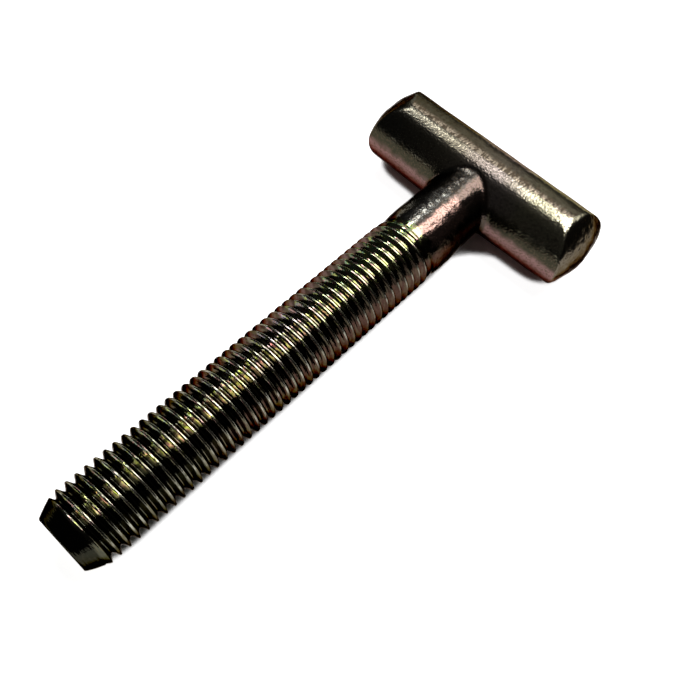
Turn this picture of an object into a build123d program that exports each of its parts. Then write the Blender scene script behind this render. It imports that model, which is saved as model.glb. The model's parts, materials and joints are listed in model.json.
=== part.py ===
from build123d import *
from math import asin, ceil, cos, degrees, radians, sin, sqrt
import os

# A forged T-head bolt, one piece. It is built standing on its tip, with the shank up +Z and the
# head's bar along X, and then laid down as it comes to rest on a flat surface.

# Shank: from the tip's face to the bar
shank_length = 106.0

# Thread: metric 16 x 2, right-hand, rolled from the tip in whole turns as far as the neck
thread_diameter = 15.8
thread_pitch = 2.0
thread_depth = 1.4
crest_flat = 0.25
thread_phase = -160.0

# Tip: flat face and lead-in taper
tip_face_diameter = 11.6
tip_taper_length = 3.9

# Neck: plain forged length between the thread and the head
neck_length = 20.0
waist_diameter = 15.0
waist_from_thread = 2.6
neck_diameter = 15.5
neck_from_thread = 4.6
neck_taper_length = 5.8
neck_root_diameter = 14.9
neck_root_from_head = 2.6
neck_fillet = 2.0

# Head: round cross bar, its ends rounded in plan and crowned along the shank
head_diameter = 17.7
head_length = 57.6
end_setback = 6.9
end_crown_radius = 21.0
end_edge_radius = 0.4

# Lands along the top and bottom of the bar, where the forging flash was trimmed off
trim_land_width = 4.4
trim_land_lean = 9.5

head_radius = head_diameter / 2
thread_radius = thread_diameter / 2
thread_turns = round((shank_length - neck_length) / thread_pitch)
thread_end = thread_turns * thread_pitch
neck_start = thread_end + neck_from_thread
neck_root = shank_length - neck_root_from_head
head_height = shank_length + head_radius


def thread_turn():
    """One pitch of the threaded shank: a disc with the helical V groove running through it."""
    root_radius = thread_radius - thread_depth
    slope = (thread_pitch - crest_flat) / 2 / thread_depth
    half_width = (thread_pitch - crest_flat / 2) / 2
    outer_radius = root_radius + half_width / slope
    start = -thread_pitch
    groove_turns = 3
    path = Helix(thread_pitch, groove_turns * thread_pitch, root_radius, center=(0, 0, start))
    section = Polyline(
        (root_radius, 0, start),
        (outer_radius, 0, start + half_width),
        (outer_radius, 0, start - half_width),
        close=True,
    )
    groove = sweep(make_face(section), path=path, is_frenet=True)
    return upright_disc(thread_radius, thread_pitch) - groove


def upright_disc(radius, height):
    """Cylinder standing on the XY plane, its seam line turned clear of the groove's start."""
    seam_angle = -37
    return Rot(Z=seam_angle) * Cylinder(radius, height, align=(Align.CENTER, Align.CENTER, Align.MIN))


def stacked(turn, count):
    """Fuse count turns end to end, doubling the stack each time."""
    if count == 1:
        return turn
    half = stacked(turn, count // 2)
    stack = half + Pos(0, 0, count // 2 * thread_pitch) * half
    if count % 2:
        stack = stack + Pos(0, 0, (count - 1) * thread_pitch) * turn
    return stack


def threaded_shank():
    """The thread, with its first turns cut back by the tip's taper."""
    turn = thread_turn()
    tip_radius = tip_face_diameter / 2
    tip_turns = ceil(tip_taper_length / thread_pitch)
    cone_height = (tip_turns + 1) * thread_pitch
    cone_radius = tip_radius + (thread_radius - tip_radius) * cone_height / tip_taper_length
    bottom = (Align.CENTER, Align.CENTER, Align.MIN)
    seam_angle = 71
    taper = Rot(Z=seam_angle) * Cone(tip_radius, cone_radius, cone_height, align=bottom)
    tip = stacked(turn, tip_turns) & taper
    rest = stacked(turn, thread_turns - tip_turns)
    return Rot(Z=thread_phase) * (tip + Pos(0, 0, tip_turns * thread_pitch) * rest)


def neck():
    """Turned outline from the end of the thread up to the bar's axis."""
    outline = Polyline(
        (0, thread_end),
        (thread_radius, thread_end),
        (waist_diameter / 2, thread_end + waist_from_thread),
        (neck_diameter / 2, neck_start),
        (neck_diameter / 2, neck_root - neck_taper_length),
        (neck_root_diameter / 2, neck_root),
        (neck_root_diameter / 2, head_height),
        (0, head_height),
        close=True,
    )
    return revolve(make_face(Plane.XZ * outline), Axis.Z)


def head():
    """Round bar along X, centred on the origin, with its ends rounded in plan and crowned."""
    bar = extrude(Plane.YZ * bar_section(), head_length / 2, both=True)
    plan_radius = (head_radius**2 + end_setback**2) / (2 * end_setback)
    wheel_x = head_length / 2 - end_crown_radius
    rim_x = head_length / 2 - plan_radius
    rim = Pos(rim_x, 0) * Circle(plan_radius)
    web = Pos((wheel_x + rim_x) / 2, 0) * Rectangle(rim_x - wheel_x, 2 * plan_radius)
    outward = Pos(wheel_x + end_crown_radius, 0) * Rectangle(2 * end_crown_radius, 3 * plan_radius)
    wheel = revolve((rim + web) & outward, Axis((wheel_x, 0, 0), (0, 1, 0)))
    middle = Box(2 * wheel_x, 2 * plan_radius, 2 * head_diameter)
    bar = bar & (middle + wheel + mirror(wheel, Plane.YZ))
    rims = bar.edges().filter_by(lambda edge: edge.geom_type != GeomType.LINE)
    return fillet(rims, end_edge_radius)


def bar_section():
    """Section of the bar: a disc with two lands cut flat, both leaning away from the shank.

    The disc's seam points down the shank, where the neck covers its middle.
    """
    seam_angle = -90
    land_offset = sqrt(head_radius**2 - (trim_land_width / 2) ** 2)
    trimmed = Rectangle(head_radius, head_diameter, align=(Align.MIN, Align.CENTER))
    section = Rot(Z=seam_angle) * Circle(head_radius)
    for land_angle in (trim_land_lean, 180 - trim_land_lean):
        section = section - Rot(Z=land_angle) * Pos(land_offset, 0) * trimmed
    return section


def forged_end():
    """Neck and head as one solid, blended where the neck runs into the bar."""
    body = neck() + Pos(0, 0, head_height) * head()
    junction = body.edges().filter_by(GeomType.BSPLINE).sort_by(SortBy.LENGTH)[-1]
    return fillet(junction, neck_fillet)


def laid_down(body):
    """The bolt on its side, on the bar's lower land edge and the first full thread crest."""
    land_edge_angle = degrees(asin(trim_land_width / head_diameter))
    rest_angle = radians(max(land_edge_angle - trim_land_lean, 0))
    bar_drop = head_radius * cos(rest_angle)
    drop_height = head_height - head_radius * sin(rest_angle)
    first_crest = tip_taper_length + thread_pitch / 2
    tilt = degrees(asin((bar_drop - thread_radius) / (drop_height - first_crest)))
    lying = Rot(X=tilt) * Rot(X=-90) * body
    box = lying.bounding_box()
    return Pos(-box.center().X, -box.center().Y, -box.min.Z) * lying


bolt = laid_down(threaded_shank() + forged_end())
os.makedirs("parts", exist_ok=True)
export_step(bolt, "parts/t_bolt.step")
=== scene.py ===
import bmesh
import bpy
import json
import math
import numpy as np
from mathutils import Matrix


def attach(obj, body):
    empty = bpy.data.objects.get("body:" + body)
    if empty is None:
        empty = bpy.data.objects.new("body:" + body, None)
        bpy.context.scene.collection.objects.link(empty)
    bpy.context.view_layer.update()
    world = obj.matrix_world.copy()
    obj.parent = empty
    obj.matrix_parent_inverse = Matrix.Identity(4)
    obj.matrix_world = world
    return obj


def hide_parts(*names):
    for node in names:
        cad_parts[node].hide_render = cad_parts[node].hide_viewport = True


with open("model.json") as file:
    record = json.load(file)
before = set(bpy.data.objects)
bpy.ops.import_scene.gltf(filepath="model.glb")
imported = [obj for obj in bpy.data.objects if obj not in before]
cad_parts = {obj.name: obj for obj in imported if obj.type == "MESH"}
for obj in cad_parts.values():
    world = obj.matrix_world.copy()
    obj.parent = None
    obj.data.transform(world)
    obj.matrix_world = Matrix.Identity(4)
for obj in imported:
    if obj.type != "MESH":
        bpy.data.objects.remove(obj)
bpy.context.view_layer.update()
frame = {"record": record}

# The bolt's own axes, from the mount on its bearing line. Lengths are in millimetres unless a
# comment says otherwise, and points are (along the bar, up, from the tip towards the head).
MM = 0.001
SHANK_LENGTH = 106.0
seat = next(m for m in frame["record"]["mounts"] if m["name"] == "head_seat")
to_tip = np.array(seat["axis"]) / np.linalg.norm(seat["axis"])
SHANK_DIR = -to_tip
BAR_DIR = np.array([1.0, 0.0, 0.0])
UP_DIR = np.cross(BAR_DIR, SHANK_DIR)
TIP = np.array(seat["pos_m"]) / MM + to_tip * SHANK_LENGTH

# Thread. A table gives places from the tip, then the values there.
PITCH = 2.0
CREST_RADIUS = 7.866
CREST_HALF_FLAT = 0.17
CREST_ROUNDING = 0.16
SEAM_DEPTH = 0.045
SEAM_HALF_WIDTH = 0.09
FLANK_SLOPE = 1.732
GROOVE_DEPTH = (8, 25, 48, 84), (1.34, 1.16, 0.96, 0.84)
GROOVE_ROUNDING = 0.36
FIRST_CREST = 5.02
FIRST_CREST_ANGLE = math.radians(156)
THREAD_START = (2.0, 4.2)
THREAD_FADE = (84.3, 88.4)
CREST_TO_NECK = (85.6, 88.5)
WEAR_DEPTH = 0.014
WEAR_MARGIN = 0.02
NICK_DEPTH = 0.05
NICK_SHARE = (1.5, 2.6)
LUMP_RADIUS = 7.9

# Tip. Past its end the taper's table lies outside the crests, where it cuts nothing. The dish
# gives shares of the face's radius and how deep it lies there.
TIP_TAPER = (0, 0.3, 1.0, 1.7, 2.7, 3.4, 4.3, 6), (5.72, 6.0, 6.36, 6.7, 7.15, 7.5, 7.95, 9)
TIP_ROUNDING = 0.1
TIP_LUMPS = 0.03
TIP_DISH = ((0.965, -0.02), (0.9, 0.06), (0.72, 0.12), (0.5, 0.17), (0.3, 0.2), (0.12, 0.22))

# Neck, as two tables. Its right side, towards +X, is fuller at the thread and thinner at the head.
NECK_LEFT = (88.5, 90.3, 92, 99.8, 104), (7.46, 7.64, 7.75, 7.7, 7.66)
NECK_RIGHT = (
    (88.5, 90.0, 91.4, 94, 96, 97.7, 100, 102.4),
    (7.48, 7.76, 7.87, 7.83, 7.73, 7.6, 7.44, 7.34))
NECK_TURN = math.radians(18)
NECK_FILLET = 1.8
LEAST_FILLET = 0.08

# Head
BAR_RADIUS = 8.84
BAR_HALF = 28.72
BAR_CENTRE = SHANK_LENGTH + 8.83
END_PLAN_RADIUS = 9.13
END_CROWN_RADIUS = 21.0
END_LUMPS = 0.05
RIM_RADIUS = 0.32
LAND_OFFSET = 8.588
LAND_LEAN = math.radians(9.5)
LAND_SUNK = 0.04
LAND_ROUNDING = 0.35
TICK_DEPTH = 0.05
BEARING_BULGE = 0.57
BULGE_REACH = 26.0

# Surface unevenness of the tip's taper, the neck and the bar
FINE_LUMPS = 0.02

# Mesh. Rows are places within one turn of the thread.
COLUMNS = 72
ROW_OFFSETS = (-0.86, -0.72, -0.45, -0.2, -0.1, 0.0, 0.1, 0.2, 0.45, 0.72, 0.86, 1.0)
SPARE_TURNS = 4
SHANK_MESH_END = 89.4
END_ROW_GAP = 0.12
HEAD_MESH_GAP = 0.15
CELL = 0.36
GRID_MARGIN = 0.9

# Plating. Colours are linear. The thread's two tables run by its drift, 0 at the tip and about 1
# at the neck, and the head's runs along the bar. A pair of bounds is where a change starts and
# where it is over.
DRIFT_LENGTH = 90.0
SUNNY = (
    (0.0, (0.56, 0.53, 0.40)), (0.2, (0.54, 0.50, 0.34)), (0.42, (0.48, 0.43, 0.28)),
    (0.58, (0.44, 0.39, 0.29)), (0.7, (0.42, 0.41, 0.23)), (0.82, (0.42, 0.44, 0.20)),
    (0.98, (0.44, 0.45, 0.22)))
SHADY = (
    (0.0, (0.42, 0.44, 0.39)), (0.25, (0.30, 0.40, 0.29)), (0.5, (0.38, 0.38, 0.36)),
    (0.62, (0.38, 0.33, 0.42)), (0.72, (0.22, 0.36, 0.22)), (0.98, (0.20, 0.36, 0.20)))
HEAD_TOP = (
    (0.0, (0.13, 0.125, 0.1)), (0.3, (0.3, 0.27, 0.2)), (0.5, (0.44, 0.37, 0.32)),
    (0.68, (0.46, 0.39, 0.35)), (0.85, (0.46, 0.43, 0.29)), (1.0, (0.44, 0.41, 0.29)))
SPECULAR_TINT = (0.17, 0.14, 0.11, 1.0)
BUMP_METRES = 0.00008

# Bounds by drift
OLIVE_DRIFT = (0.42, 0.24)
BARE_DRIFT = (0.8, 0.5)
DASH_TINT_DRIFT = (0.8, 0.4)
DASH_BUMP_DRIFT = (0.8, 0.3)

# Bounds by distance from the tip
TIP_TINT_END = (3.9, 3.3)
FORGED_START = (88.6, 90.2)
NECK_START = (88.9, 89.7)
# Painted shade where the neck meets the head
FILLET_SHADE = (100.4, 102.2)
BAR_START = (104.4, 105.6)
LAND_START = (106.0, 107.0)
BAR_ALONE = (113.0, 115.0)
SHEAR_END = (117.6, 116.2)

# Bounds by distance from the bolt's axis
CREST_TOPS = (7.77, 7.84)
BAR_OUTSIDE_NECK = (7.95, 8.5)

# Bounds along X
SUNNY_TO_SHADY = (0.9, -0.6)
MAUVE_TO_REDDISH = (-2.0, 2.0)
SALMON_TO_SILVER = (0.9, 0.2)
# Painted shade band along the neck between its two sides
SHADE_BAND_START = (-0.3, 0.3)
SHADE_BAND_END = (1.3, 0.7)
BAR_SPAN = (-26.0, 26.0)
BAR_END_START = (20.0, 24.0)

# Bounds by height above the floor. They place painted shade, and at the tip a painted reflection
TIP_REFLECTION_BELOW = (4.7, 4.2)
END_FACE_SHADE_TOP = (6.5, 9.0)
BAR_FOOT_TOP = (8.4, 11.0)
BARE_CREST_SHADE_HEIGHT = (9.5, 12.5)
REDDISH_SHADE_TOP = (12.0, 12.9)
MAUVE_TOP = (13.2, 14.2)
BAR_SHADE_BELOW = (14.5, 12.5)
NECK_SHADE_BELOW = (14.6, 13.2)
THREAD_SHADE_BELOW = (15.6, 14.4)

# Bounds by how squarely the surface faces as the land does, and as the bar's ends do
LAND_FACING = (0.988, 0.996)
END_FACING = (0.25, 0.45)

# Bounds by noise
BARE_PATCHES = (0.3, 0.5)
RED_FLECKS = (0.52, 0.6)
GREEN_FLECKS = (0.48, 0.4)
DARK_DASHES = (0.5, 0.43)
PITS = (0.5, 0.6)
SHEAR_TICKS = (0.44, 0.56)

# Floor and its contact shadow, in metres
FLOOR_HALF = 3.0
FLOOR_WHITE = (0.86, 0.86, 0.86, 1.0)
FLOOR_ROUGHNESS = 0.9
FLOOR_GLOW = 0.95
SHADOW_REACH = 0.008
SHADOW_SAMPLES = 48
SHADOW_SHARE = (0.36, 0.43)

# Lamps: name, place from the head's centre and size in metres, and radiance
LAMPS = (
    ("main_lamp", (0.07, 0.316, 0.70), (0.38, 0.58), 6.0),
    ("bridge_lamp", (-0.21, 0.316, 0.70), (0.18, 0.58), 1.2),
    ("side_lamp", (-0.42, 0.30, 0.70), (0.12, 0.42), 10.0),
    ("back_lamp", (-0.23, 0.75, 0.49), (1.1, 0.34), 0.9),
)

# Camera: its place from the tip in millimetres, and its own axes
CAMERA_FROM_TIP = (49.909, -1.294, 131.719)
CAMERA_FORWARD = np.array([-0.27432, 0.41680, -0.86662])
CAMERA_RIGHT = np.array([0.73060, 0.67631, 0.09400])
CAMERA_UP = -np.array([0.62528, -0.60737, -0.49003])
CAMERA_SENSOR = 36.0
CAMERA_LENS = 39.68
CAMERA_CLIP_METRES = 0.005

# Room: what lights the bolt from all round, and the height at which mirrored rays see white
ROOM_LEVEL = 0.018
HORIZON = (0.06, 0.03)


def smooth_max(a, b, width):
    """The larger of a and b, rounded over where they cross."""
    share = np.clip(0.5 + 0.5 * (a - b) / width, 0, 1)
    return b * (1 - share) + a * share + width * share * (1 - share)


def smooth_min(a, b, width):
    """The smaller of a and b, rounded over where they cross."""
    return -smooth_max(-a, -b, width)


def smooth_step(low, high, value):
    """0 below low, 1 above high, easing between."""
    t = np.clip((value - low) / (high - low), 0, 1)
    return t * t * (3 - 2 * t)


def lumps(points, size, seed):
    """Smooth irregular field of unit spread, with lumps about size across."""
    random = np.random.default_rng(seed)
    waves = 14
    total = np.zeros(points.shape[:-1])
    for _ in range(waves):
        direction = random.normal(size=3)
        direction *= 2 * math.pi / size * random.uniform(0.5, 1.5) / np.linalg.norm(direction)
        total += np.sin(points @ direction + random.uniform(0, 2 * math.pi))
    return total / math.sqrt(waves / 2)


def rounded_inside(a, b, radius):
    """Distance to the overlap of two bodies, its outer edge rounded to radius."""
    corner = np.hypot(np.maximum(a + radius, 0), np.maximum(b + radius, 0)) - radius
    return np.where((a > -radius) & (b > -radius), corner, np.maximum(a, b))


def neck_radius(angle, s):
    """Forged neck, blended between its left and right sides."""
    share = 0.5 + 0.5 * np.cos(angle + NECK_TURN)
    return np.interp(s, *NECK_LEFT) * (1 - share) + np.interp(s, *NECK_RIGHT) * share


def shank_radius(angle, s):
    """Threaded shank, from the tip to where the thread has run out below the neck."""
    turn = (s - FIRST_CREST) / PITCH + (angle - FIRST_CREST_ANGLE) / (2 * math.pi)
    from_crest = np.abs((turn + 0.5) % 1 - 0.5) * PITCH
    flank = FLANK_SLOPE * (from_crest - CREST_HALF_FLAT)
    depth = smooth_max(np.zeros_like(flank), flank, CREST_ROUNDING)
    depth = smooth_min(depth, np.interp(s, *GROOVE_DEPTH), GROOVE_ROUNDING)
    depth = depth + SEAM_DEPTH * np.maximum(1 - from_crest / SEAM_HALF_WIDTH, 0)
    depth = depth * (1 - smooth_step(*THREAD_FADE, s)) * smooth_step(*THREAD_START, s)
    points = np.stack([LUMP_RADIUS * np.cos(angle), LUMP_RADIUS * np.sin(angle), s], -1)
    nicks = smooth_step(*NICK_SHARE, lumps(points, 1.6, seed=8))
    worn = WEAR_DEPTH * lumps(points, 5.0, seed=3) + NICK_DEPTH * nicks
    crest = CREST_RADIUS - WEAR_MARGIN - np.maximum(worn, -WEAR_MARGIN)
    crest = crest + (neck_radius(angle, s) - crest) * smooth_step(*CREST_TO_NECK, s)
    taper = np.interp(s, *TIP_TAPER) + FINE_LUMPS * lumps(points, 2.5, seed=5)
    return smooth_min(crest - depth, taper, TIP_ROUNDING)


def head_distance(x, n, s):
    """Signed distance to the neck and head."""
    z = s - BAR_CENTRE
    points = np.stack([x, n, s], -1)
    across = np.hypot(n, z)
    bulge = BEARING_BULGE * (1 - np.minimum(np.abs(x) / BULGE_REACH, 1))
    side = across - BAR_RADIUS - bulge * np.maximum(-z, 0) / np.maximum(across, 1)
    wheel_x = BAR_HALF - END_CROWN_RADIUS
    outward = np.hypot(np.maximum(np.abs(x) - wheel_x, 0), z) - (END_CROWN_RADIUS - END_PLAN_RADIUS)
    end = np.hypot(np.maximum(outward, 0), n) - END_PLAN_RADIUS
    end = end + END_LUMPS * lumps(points, 6.0, seed=21) + FINE_LUMPS * lumps(points, 1.7, seed=22)
    bar = rounded_inside(side + FINE_LUMPS * lumps(points, 9.0, seed=23), end, RIM_RADIUS)
    land = math.cos(LAND_LEAN) * np.abs(n) + math.sin(LAND_LEAN) * z - LAND_OFFSET
    ticks = smooth_step(-1, 1, lumps(points * (1, 0.2, 0.2), 1.1, seed=24))
    bar = rounded_inside(bar, land + LAND_SUNK + TICK_DEPTH * ticks, LAND_ROUNDING)
    neck = np.hypot(x, n) - neck_radius(np.arctan2(n, x), s)
    neck = np.maximum(neck + FINE_LUMPS * lumps(points, 2.2, seed=25), z)
    facing = n * n / np.maximum(np.hypot(x, n) * across, 0.01)
    return smooth_min(bar, neck, LEAST_FILLET + NECK_FILLET * (1 - facing))


def surface_net(distance, axes):
    """Quads on the zero surface of distance over a box grid, one point in each cell it crosses."""
    grid = np.meshgrid(*axes, indexing="ij")
    value = distance(*grid)
    shape = tuple(len(a) - 1 for a in axes)
    total = np.zeros(shape + (3,))
    count = np.zeros(shape)
    origin = np.array([a[0] for a in axes])
    for way in range(3):
        for one in (0, 1):
            for two in (0, 1):
                start = [slice(0, n) for n in shape]
                others = [k for k in range(3) if k != way]
                start[others[0]] = slice(one, shape[others[0]] + one)
                start[others[1]] = slice(two, shape[others[1]] + two)
                end = list(start)
                end[way] = slice(1, shape[way] + 1)
                a = value[tuple(start)]
                b = value[tuple(end)]
                crossed = (a < 0) != (b < 0)
                share = np.where(crossed, a / np.where(crossed, a - b, 1), 0)
                corner = np.stack(np.indices(shape), -1).astype(float)
                corner[..., others[0]] += one
                corner[..., others[1]] += two
                corner[..., way] += share
                total += corner * crossed[..., None]
                count += crossed
    used = count > 0
    index = np.full(shape, -1)
    index[used] = np.arange(used.sum())
    points = origin + total[used] / count[used][:, None] * CELL
    quads = []
    for way in range(3):
        p, q = [k for k in range(3) if k != way]
        start = [slice(1, n) for n in shape]
        start[way] = slice(0, shape[way])
        end = list(start)
        end[way] = slice(1, shape[way] + 1)
        a = value[tuple(start)] < 0
        b = value[tuple(end)] < 0
        for flip in (False, True):
            cells = np.argwhere((a != b) & (a == flip))
            cells = cells + [0 if k == way else 1 for k in range(3)]
            ring = []
            for dp, dq in ((-1, -1), (0, -1), (0, 0), (-1, 0)):
                cell = cells.copy()
                cell[:, p] += dp
                cell[:, q] += dq
                ring.append(index[cell[:, 0], cell[:, 1], cell[:, 2]])
            if flip == (way == 1):
                ring.reverse()
            quads += np.stack(ring, 1).tolist()
    return points, quads


def onto_surface(points, distance):
    """Points moved along the slope of distance until they lie on its zero surface."""
    step = 0.02
    least_slope = 0.2
    longest_move = 0.3
    rounds = 4
    for _ in range(rounds):
        here = distance(*points.T)
        slope = np.zeros_like(points)
        for k in range(3):
            shift = np.zeros(3)
            shift[k] = step
            slope[:, k] = (distance(*(points + shift).T) - distance(*(points - shift).T)) / (2 * step)
        size = np.maximum((slope**2).sum(1), least_slope)
        move = -slope * (here / size)[:, None]
        reach = np.linalg.norm(move, axis=1)
        points = points + move * np.minimum(1, longest_move / np.maximum(reach, 1e-9))[:, None]
    return points


def head_mesh():
    """Points and quads of the neck and head, open where they meet the shank."""
    start = SHANK_MESH_END + HEAD_MESH_GAP
    low = (-BAR_HALF - GRID_MARGIN, -BAR_RADIUS - GRID_MARGIN, start)
    high = (BAR_HALF + GRID_MARGIN, BAR_RADIUS + GRID_MARGIN, BAR_CENTRE + BAR_RADIUS + GRID_MARGIN)
    axes = [np.arange(a, b, CELL) for a, b in zip(low, high)]
    points, quads = surface_net(head_distance, axes)
    return onto_surface(points, head_distance), quads


def shank_mesh():
    """Points and faces of the shank on rows that follow the thread, and its two end rings."""
    rows = len(ROW_OFFSETS)
    turns = range(-SPARE_TURNS, int(SHANK_MESH_END / PITCH) + SPARE_TURNS)
    along = np.array([k * PITCH + d for k in turns for d in ROW_OFFSETS])
    angles = np.arange(COLUMNS) * 2 * math.pi / COLUMNS
    start = FIRST_CREST + PITCH * FIRST_CREST_ANGLE / (2 * math.pi)
    s = start + along[None, :] - PITCH * angles[:, None] / (2 * math.pi)
    before = s <= END_ROW_GAP
    beyond = s >= SHANK_MESH_END - END_ROW_GAP
    inside = ~(before | beyond)
    index = np.zeros(s.shape, int)
    index[inside] = 2 * COLUMNS + np.arange(inside.sum())
    column = np.repeat(np.arange(COLUMNS)[:, None], s.shape[1], 1)
    index[before] = column[before]
    index[beyond] = COLUMNS + column[beyond]
    all_s = np.concatenate([np.zeros(COLUMNS), np.full(COLUMNS, SHANK_MESH_END), s[inside]])
    all_angles = np.concatenate([angles, angles, np.repeat(angles[:, None], s.shape[1], 1)[inside]])
    radius = shank_radius(all_angles, all_s)
    points = np.stack([radius * np.cos(all_angles), radius * np.sin(all_angles), all_s], 1)
    faces = []
    for i in range(COLUMNS):
        shift = rows if i == COLUMNS - 1 else 0
        after = (i + 1) % COLUMNS
        for j in range(shift, s.shape[1] - 1):
            k = j - shift
            ring = [index[i, j], index[after, k], index[after, k + 1], index[i, j + 1]]
            face = [int(v) for v, previous in zip(ring, ring[-1:] + ring) if v != previous]
            if len(set(face)) == len(face) > 2:
                faces.append(face)
    return points, faces


def tip_cap(points, faces):
    """Closes the tip with a slightly dished face, as the blank was sheared."""
    ring = list(range(COLUMNS))
    radius = np.hypot(points[ring, 0], points[ring, 1])
    angles = np.arctan2(points[ring, 1], points[ring, 0])
    for share, sunk in TIP_DISH:
        new = np.stack([
            radius * share * np.cos(angles), radius * share * np.sin(angles), np.full(COLUMNS, sunk)], 1)
        new[:, 2] = np.maximum(new[:, 2] + TIP_LUMPS * lumps(new, 2.0, seed=11), 0.0)
        first = len(points)
        points = np.concatenate([points, new])
        inner = list(range(first, first + COLUMNS))
        for i in range(COLUMNS):
            after = (i + 1) % COLUMNS
            faces.append([ring[i], inner[i], inner[after], ring[after]])
        ring = inner
    points = np.concatenate([points, [[0.0, 0.0, TIP_DISH[-1][1]]]])
    centre = len(points) - 1
    for i in range(COLUMNS):
        faces.append([ring[i], centre, ring[(i + 1) % COLUMNS]])
    return points, faces


def open_loop(faces):
    """The points round the one open edge of a mesh, in order."""
    single = {}
    for face in faces:
        for a, b in zip(face, face[1:] + face[:1]):
            if not single.pop((b, a), False):
                single[(a, b)] = True
    following = dict(single.keys())
    first = next(iter(following))
    loop = [first]
    while following[loop[-1]] != first:
        loop.append(following[loop[-1]])
    return loop


def zipped(points, ring, loop):
    """Triangles between two loops that run round the shank at different counts."""
    def turn(k):
        return math.atan2(points[k][1], points[k][0]) % (2 * math.pi)

    def swept(k):
        return math.sin(turn(loop[k]) - turn(loop[k - 1]))

    if sum(swept(k) for k in range(len(loop))) < 0:
        loop = loop[::-1]
    first = min(range(len(loop)), key=lambda k: turn(loop[k]))
    loop = loop[first:] + loop[:first]
    a = b = 0
    faces = []
    while a < len(ring) or b < len(loop):
        next_a = 2 * math.pi * (a + 1) / len(ring)
        next_b = turn(loop[b + 1]) if b + 1 < len(loop) else 2 * math.pi + turn(loop[0])
        one = ring[a % len(ring)]
        two = loop[b % len(loop)]
        if b >= len(loop) or (a < len(ring) and next_a <= next_b):
            faces.append([one, ring[(a + 1) % len(ring)], two])
            a += 1
        else:
            faces.append([one, loop[(b + 1) % len(loop)], two])
            b += 1
    return faces


def bolt_object():
    """The whole bolt as one closed mesh in the row frame."""
    points, faces = shank_mesh()
    points, faces = tip_cap(points, faces)
    head_points, head_faces = head_mesh()
    loop = open_loop(head_faces)
    first = len(points)
    points = np.concatenate([points, head_points])
    faces += [[v + first for v in face] for face in head_faces]
    ring = list(range(COLUMNS, 2 * COLUMNS))
    faces += zipped(points, ring, [v + first for v in loop])
    placed = (TIP + points @ np.stack([BAR_DIR, UP_DIR, SHANK_DIR])) * MM
    mesh = bpy.data.meshes.new("bolt_surface")
    mesh.from_pydata(placed.tolist(), [], faces)
    mesh.validate()
    obj = bpy.data.objects.new("bolt_surface", mesh)
    bpy.context.scene.collection.objects.link(obj)
    shell = bmesh.new()
    shell.from_mesh(mesh)
    bmesh.ops.recalc_face_normals(shell, faces=shell.faces)
    shell.to_mesh(mesh)
    shell.free()
    mesh.shade_smooth()
    return obj


def rgb(r, g, b):
    return (r, g, b, 1.0)


class Nodes:
    """Short calls for building a node tree."""

    def __init__(self, tree):
        self.tree = tree

    def add(self, kind, **settings):
        node = self.tree.nodes.new(kind)
        for name, value in settings.items():
            setattr(node, name, value)
        return node

    def put(self, socket, value):
        if isinstance(value, bpy.types.NodeSocket):
            self.tree.links.new(value, socket)
        else:
            socket.default_value = value

    def math(self, operation, a, b=0.0):
        node = self.add("ShaderNodeMath", operation=operation)
        self.put(node.inputs[0], a)
        self.put(node.inputs[1], b)
        return node.outputs[0]

    def plus(self, a, b):
        return self.math("ADD", a, b)

    def times(self, a, b):
        return self.math("MULTIPLY", a, b)

    def ramp(self, value, low, high, to_low=0.0, to_high=1.0):
        """Eases from to_low to to_high while value goes from low to high."""
        node = self.add("ShaderNodeMapRange", interpolation_type="SMOOTHSTEP")
        names = ("Value", "From Min", "From Max", "To Min", "To Max")
        for name, given in zip(names, (value, low, high, to_low, to_high)):
            self.put(node.inputs[name], given)
        return node.outputs["Result"]

    def noise(self, vector, scale, detail=2.0, rough=0.5):
        node = self.add("ShaderNodeTexNoise")
        names = ("Vector", "Scale", "Detail", "Roughness")
        for name, given in zip(names, (vector, scale, detail, rough)):
            self.put(node.inputs[name], given)
        return node.outputs["Fac"]

    def mix(self, share, a, b):
        node = self.add("ShaderNodeMix", data_type="RGBA")
        self.put(node.inputs[0], share)
        self.put(node.inputs[6], a)
        self.put(node.inputs[7], b)
        return node.outputs[2]

    def scaled(self, vector, factors):
        node = self.add("ShaderNodeVectorMath", operation="MULTIPLY")
        self.put(node.inputs[0], vector)
        self.put(node.inputs[1], factors)
        return node.outputs[0]

    def parts(self, vector):
        node = self.add("ShaderNodeSeparateXYZ")
        self.put(node.inputs[0], vector)
        return node.outputs

    def colours(self, value, stops):
        node = self.add("ShaderNodeValToRGB")
        self.put(node.inputs[0], value)
        ramp = node.color_ramp
        while len(ramp.elements) < len(stops):
            ramp.elements.new(0.5)
        for element, (place, colour) in zip(ramp.elements, stops):
            element.position = place
            element.color = rgb(*colour)
        return node.outputs[0]


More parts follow.
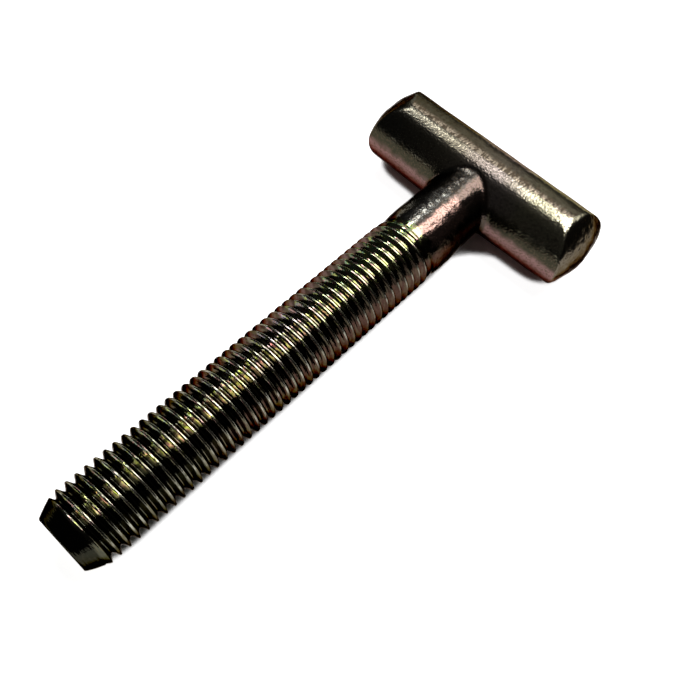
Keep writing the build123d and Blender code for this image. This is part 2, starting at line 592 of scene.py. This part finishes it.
class Steel(Nodes):
    """Yellow passivated zinc on rolled and forged steel, with its drifting tints, and painted shade and
    a painted reflection in its colours.
    """

    def __init__(self, tree):
        super().__init__(tree)
        in_metres = self.add("ShaderNodeTexCoord").outputs["Object"]
        self.place = self.scaled(in_metres, (1 / MM, 1 / MM, 1 / MM))
        self.x, y, z = self.parts(self.place)
        self.along = self.plus(y, float(-TIP[1]))
        axis = self.plus(float(TIP[2]), self.times(self.along, float(SHANK_DIR[2])))
        rise = self.math("SUBTRACT", z, axis)
        square = self.plus(self.times(self.x, self.x), self.times(rise, rise))
        self.radius = self.math("SQRT", square)
        self.height = self.plus(z, self.wander(0.5, 2.5))
        self.broad = self.wander(0.12, 16.0)
        self.drift = self.math("DIVIDE", self.plus(self.along, self.broad), DRIFT_LENGTH)
        self.ragged = self.plus(self.along, self.wander(0.55, 5.0, 4.0, 0.65))
        self.forged = self.ramp(self.ragged, *FORGED_START)
        self.speckle = self.noise(self.place, 2.3, 2.0, 0.6)
        self.dashes = self.noise(self.scaled(self.place, (0.35, 2.5, 0.35)), 1.0, 1.5)
        crest = self.ramp(self.radius, *CREST_TOPS)
        self.worn = self.times(crest, self.ramp(self.noise(self.place, 0.6), *BARE_PATCHES))
        self.ticks = self.noise(self.scaled(self.place, (2.0, 0.5, 0.5)), 1.0, 1.0)
        self.normal = self.add("ShaderNodeNewGeometry").outputs["Normal"]
        self.land = self.times(self.land_facing(), self.ramp(self.along, *LAND_START))
        shear_edge = self.plus(self.along, self.times(self.ticks, 3.0))
        self.sheared = self.times(self.land, self.ramp(shear_edge, *SHEAR_END))

    def wander(self, scale, reach, detail=2.0, rough=0.5):
        """Noise about zero that could span reach from end to end."""
        noise = self.noise(self.place, scale, detail, rough)
        return self.times(self.math("SUBTRACT", noise, 0.5), reach)

    def shade(self, low, high, scale=1.3):
        """A colour that wanders finely between two."""
        return self.mix(self.noise(self.place, scale, 3.0, 0.6), rgb(*low), rgb(*high))

    def land_facing(self):
        """1 where the surface faces the way of the upper sheared land."""
        node = self.add("ShaderNodeVectorMath", operation="DOT_PRODUCT")
        self.put(node.inputs[0], self.normal)
        land_normal = UP_DIR * math.cos(LAND_LEAN) + SHANK_DIR * math.sin(LAND_LEAN)
        self.put(node.inputs[1], tuple(land_normal))
        return self.ramp(node.outputs["Value"], *LAND_FACING)

    def low_tint_and_shade(self):
        """Lower flanks painted dark as painted shade, nearly black along their top: mauve on the left,
        reddish brown on the right, olive towards the tip.
        """
        reddish_shade = self.shade((0.02, 0.011, 0.008), (0.08, 0.043, 0.032), 2.2)
        reddish_shade = self.mix(self.ramp(self.height, *REDDISH_SHADE_TOP), reddish_shade, rgb(0.02, 0.014, 0.01))
        mauve = self.shade((0.06, 0.038, 0.033), (0.16, 0.105, 0.095), 2.2)
        mauve = self.mix(self.ramp(self.height, *MAUVE_TOP), mauve, rgb(0.04, 0.026, 0.021))
        olive = self.shade((0.03, 0.032, 0.022), (0.1, 0.1, 0.07))
        tint = self.mix(self.ramp(self.x, *MAUVE_TO_REDDISH), mauve, reddish_shade)
        return self.mix(self.ramp(self.drift, *OLIVE_DRIFT), tint, olive)

    def thread_tint(self, low_tint_and_shade):
        """Two drifting colours with flecks and dashes, worn crests painted darker low down as painted
        shade, painted shade on the lower side, and a taper painted dark as painted shade with a painted
        reflection low down.
        """
        sunny = self.colours(self.drift, SUNNY)
        shady = self.colours(self.drift, SHADY)
        tint = self.mix(self.ramp(self.x, *SUNNY_TO_SHADY), sunny, shady)
        fleck = self.noise(self.scaled(self.place, (0.8, 2.6, 0.8)), 1.0)
        tint = self.mix(self.ramp(fleck, *RED_FLECKS), tint, rgb(0.48, 0.27, 0.24))
        tint = self.mix(self.ramp(fleck, *GREEN_FLECKS), tint, rgb(0.44, 0.48, 0.15))
        # Painted shade: below this height the thread takes the dark colour of the lower side.
        tint = self.mix(self.ramp(self.height, *THREAD_SHADE_BELOW), tint, low_tint_and_shade)
        # Worn crests keep their light colour only high up and are painted dark lower down as painted
        # shade.
        crest_above_shade = self.ramp(self.height, *BARE_CREST_SHADE_HEIGHT)
        bare_crest_and_shade = self.mix(crest_above_shade, rgb(0.075, 0.06, 0.045), rgb(0.52, 0.51, 0.42))
        bare_share = self.times(self.worn, self.ramp(self.drift, *BARE_DRIFT, 0.45, 0.75))
        tint = self.mix(bare_share, tint, bare_crest_and_shade)
        dark_dashes = self.ramp(self.dashes, *DARK_DASHES)
        dash_share = self.times(dark_dashes, self.ramp(self.drift, *DASH_TINT_DRIFT, 0.25, 0.65))
        tint = self.mix(dash_share, tint, rgb(0.1, 0.09, 0.055))
        # Painted shade and a painted reflection: the taper is painted near-black, with a light patch low
        # down.
        tip_reflection_patch = self.ramp(self.height, *TIP_REFLECTION_BELOW)
        tip = self.mix(tip_reflection_patch, rgb(0.02, 0.02, 0.014), rgb(0.48, 0.44, 0.28))
        from_tip = self.plus(self.along, self.times(self.dashes, 0.8))
        return self.mix(self.ramp(from_tip, *TIP_TINT_END), tint, tip)

    def neck_tint(self, low_tint_and_shade):
        """Silver on the left, salmon on the right, a painted shade band between them, painted shade on
        the lower side, and painted shade where the neck meets the head.
        """
        across = self.wander(0.9, 1.8, 3.0)
        side = self.plus(self.x, across)
        salmon = self.shade((0.2, 0.1, 0.08), (0.28, 0.2, 0.17), 1.6)
        silver = self.shade((0.09, 0.095, 0.08), (0.22, 0.21, 0.195), 2.2)
        tint = self.mix(self.ramp(side, *SALMON_TO_SILVER), salmon, silver)
        # Painted shade: a dark band along the neck between its silver and salmon sides.
        shade_band = self.times(self.ramp(side, *SHADE_BAND_START), self.ramp(side, *SHADE_BAND_END))
        tint = self.mix(self.times(shade_band, 0.8), tint, rgb(0.04, 0.035, 0.03))
        # Painted shade on the neck's lower side.
        tint = self.mix(self.ramp(self.height, *NECK_SHADE_BELOW), tint, low_tint_and_shade)
        # Painted shade where the neck meets the head.
        fillet_shade = self.ramp(self.plus(self.along, across), *FILLET_SHADE)
        return self.mix(self.times(fillet_shade, 0.75), tint, rgb(0.05, 0.043, 0.037))

    def head_tint(self):
        """The bar's drifting top, its lower side painted near-black as painted shade above a darker
        pinkish foot, its end faces painted darker as painted shade, and its sheared land.
        """
        across = self.plus(self.x, self.times(self.broad, 0.6))
        top = self.colours(self.ramp(across, *BAR_SPAN), HEAD_TOP)
        # Painted shade: the bar's lower side is painted near-black above a darker pinkish foot.
        above_foot = self.ramp(self.height, *BAR_FOOT_TOP)
        low = self.mix(above_foot, rgb(0.18, 0.105, 0.098), rgb(0.03, 0.028, 0.018))
        tint = self.mix(self.ramp(self.height, *BAR_SHADE_BELOW), top, low)
        outward = self.math("ABSOLUTE", self.parts(self.normal)[0])
        at_end = self.ramp(self.math("ABSOLUTE", self.x), *BAR_END_START)
        end_share = self.times(self.ramp(outward, *END_FACING), at_end)
        # Painted shade: the end faces are painted darker than the bar, most of all at the top.
        end_top_shade = self.ramp(self.height, *END_FACE_SHADE_TOP)
        end = self.mix(end_top_shade, rgb(0.28, 0.2, 0.165), rgb(0.11, 0.092, 0.068))
        tint = self.mix(end_share, tint, end)
        tint = self.mix(self.times(self.land, 0.85), tint, rgb(0.08, 0.072, 0.048))
        shear_ticks = self.ramp(self.ticks, *SHEAR_TICKS)
        land = self.mix(shear_ticks, rgb(0.17, 0.13, 0.09), rgb(0.6, 0.5, 0.38))
        return self.mix(self.times(self.sheared, 0.85), tint, land)

    def tint(self):
        """Thread, neck and head, parted by ragged edges, with dark pits over all three."""
        low_tint_and_shade = self.low_tint_and_shade()
        on_neck = self.ramp(self.ragged, *NECK_START)
        tint = self.mix(on_neck, self.thread_tint(low_tint_and_shade), self.neck_tint(low_tint_and_shade))
        outside_neck = self.ramp(self.radius, *BAR_OUTSIDE_NECK)
        on_bar = self.times(self.ramp(self.ragged, *BAR_START), outside_neck)
        on_bar = self.math("MAXIMUM", on_bar, self.ramp(self.along, *BAR_ALONE))
        tint = self.mix(on_bar, tint, self.head_tint())
        pit_share = self.plus(0.15, self.times(self.forged, 0.5))
        pits = self.times(self.ramp(self.speckle, *PITS), pit_share)
        return self.mix(pits, tint, rgb(0.06, 0.045, 0.03))

    def roughness(self):
        """Speckled, and rougher on the thread's worn crests and on the forged parts."""
        rolled = self.math("SUBTRACT", 1.0, self.forged)
        rough = self.plus(0.04, self.times(self.speckle, 0.12))
        rough = self.plus(rough, self.times(self.times(self.worn, 0.16), rolled))
        return self.plus(rough, self.times(self.forged, 0.08))

    def relief(self):
        """Height of the fine relief: dashes on the thread, grain and shear ticks on the rest."""
        grain = self.noise(self.place, 2.0, 1.0)
        dashes = self.times(self.dashes, self.ramp(self.drift, *DASH_BUMP_DRIFT, 0.4, 1.3))
        ticks = self.times(self.times(self.sheared, self.ticks), 0.8)
        node = self.add("ShaderNodeMix", data_type="FLOAT")
        self.put(node.inputs[0], self.forged)
        self.put(node.inputs[2], self.plus(dashes, self.times(grain, 0.3)))
        self.put(node.inputs[3], self.plus(self.times(grain, 0.65), ticks))
        return node.outputs[0]


def plated_steel():
    """The bolt's one material."""
    material = bpy.data.materials.new("plated_steel")
    material.use_nodes = True
    shader = material.node_tree.nodes["Principled BSDF"]
    steel = Steel(material.node_tree)
    steel.put(shader.inputs["Base Color"], steel.tint())
    steel.put(shader.inputs["Roughness"], steel.roughness())
    shader.inputs["Metallic"].default_value = 1.0
    shader.inputs["Specular Tint"].default_value = SPECULAR_TINT
    bump = steel.add("ShaderNodeBump")
    bump.inputs["Strength"].default_value = 1.0
    bump.inputs["Distance"].default_value = BUMP_METRES
    steel.put(bump.inputs["Height"], steel.relief())
    steel.put(shader.inputs["Normal"], bump.outputs[0])
    return material


def floor_object():
    """Plain white floor under the bolt, seen as white and dark only where the bolt overhangs it."""
    size = FLOOR_HALF
    corners = [(-size, -size, 0), (size, -size, 0), (size, size, 0), (-size, size, 0)]
    mesh = bpy.data.meshes.new("floor")
    mesh.from_pydata(corners, [], [(0, 1, 2, 3)])
    obj = bpy.data.objects.new("floor", mesh)
    bpy.context.scene.collection.objects.link(obj)
    material = bpy.data.materials.new("floor_white")
    material.use_nodes = True
    shader = material.node_tree.nodes["Principled BSDF"]
    shader.inputs["Base Color"].default_value = FLOOR_WHITE
    shader.inputs["Roughness"].default_value = FLOOR_ROUGHNESS
    n = Nodes(material.node_tree)
    rays = n.add("ShaderNodeLightPath").outputs
    seen = n.math("MAXIMUM", rays["Is Camera Ray"], rays["Is Glossy Ray"])
    seen = n.math("MAXIMUM", seen, rays["Is Transmission Ray"])
    shelter = n.add("ShaderNodeAmbientOcclusion", samples=SHADOW_SAMPLES)
    shelter.inputs["Distance"].default_value = SHADOW_REACH
    open_sky = n.ramp(shelter.outputs["AO"], *SHADOW_SHARE)
    shader.inputs["Emission Color"].default_value = (1.0, 1.0, 1.0, 1.0)
    n.put(shader.inputs["Emission Strength"], n.times(n.times(seen, open_sky), FLOOR_GLOW))
    obj.data.materials.append(material)


def placed_by_axes(obj, right, up, back, at):
    """Puts obj at a point in metres with its own axes given, and links it to the scene."""
    rows = [[right[k], up[k], back[k], at[k]] for k in range(3)]
    obj.matrix_world = Matrix(rows + [[0, 0, 0, 1]])
    bpy.context.scene.collection.objects.link(obj)


def lamp(name, at, towards, size, radiance):
    """Rectangular soft lamp. Its radiance is what a mirror would show of it."""
    data = bpy.data.lights.new(name, "AREA")
    data.shape = "RECTANGLE"
    data.size, data.size_y = size
    data.energy = radiance * math.pi * size[0] * size[1]
    back = (at - towards) / np.linalg.norm(at - towards)
    right = np.cross((0.0, 1.0, 0.0), back)
    right /= np.linalg.norm(right)
    placed_by_axes(bpy.data.objects.new(name, data), right, np.cross(back, right), back, at)


def camera_object():
    """Camera above and to the right of the tip, looking down and towards the head."""
    data = bpy.data.cameras.new("camera")
    data.sensor_width = CAMERA_SENSOR
    data.lens = CAMERA_LENS
    data.clip_start = CAMERA_CLIP_METRES
    obj = bpy.data.objects.new("camera", data)
    at = (TIP + CAMERA_FROM_TIP) * MM
    placed_by_axes(obj, CAMERA_RIGHT, CAMERA_UP, -CAMERA_FORWARD, at)
    bpy.context.scene.camera = obj


def studio_world():
    """Dim room, white to the camera and, near the horizon, to mirrored rays."""
    world = bpy.data.worlds.new("studio")
    world.use_nodes = True
    n = Nodes(world.node_tree)
    rays = n.add("ShaderNodeLightPath").outputs
    direction = n.parts(n.add("ShaderNodeTexCoord").outputs["Generated"])
    mirrored = n.math("MAXIMUM", rays["Is Glossy Ray"], rays["Is Transmission Ray"])
    backdrop = n.times(mirrored, n.ramp(direction[2], *HORIZON))
    backdrop = n.math("MAXIMUM", rays["Is Camera Ray"], backdrop)
    room = n.mix(backdrop, rgb(ROOM_LEVEL, ROOM_LEVEL, ROOM_LEVEL), rgb(1, 1, 1))
    n.put(world.node_tree.nodes["Background"].inputs["Color"], room)
    return world


bolt = bolt_object()
bolt.data.materials.append(plated_steel())
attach(bolt, "root")
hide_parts("t_bolt")

floor_object()
head = TIP * MM + SHANK_DIR * BAR_CENTRE * MM
for name, from_head, size, radiance in LAMPS:
    lamp(name, head + from_head, head, size, radiance)
camera_object()
bpy.context.scene.world = studio_world()
bpy.context.scene.view_settings.view_transform = "Standard"
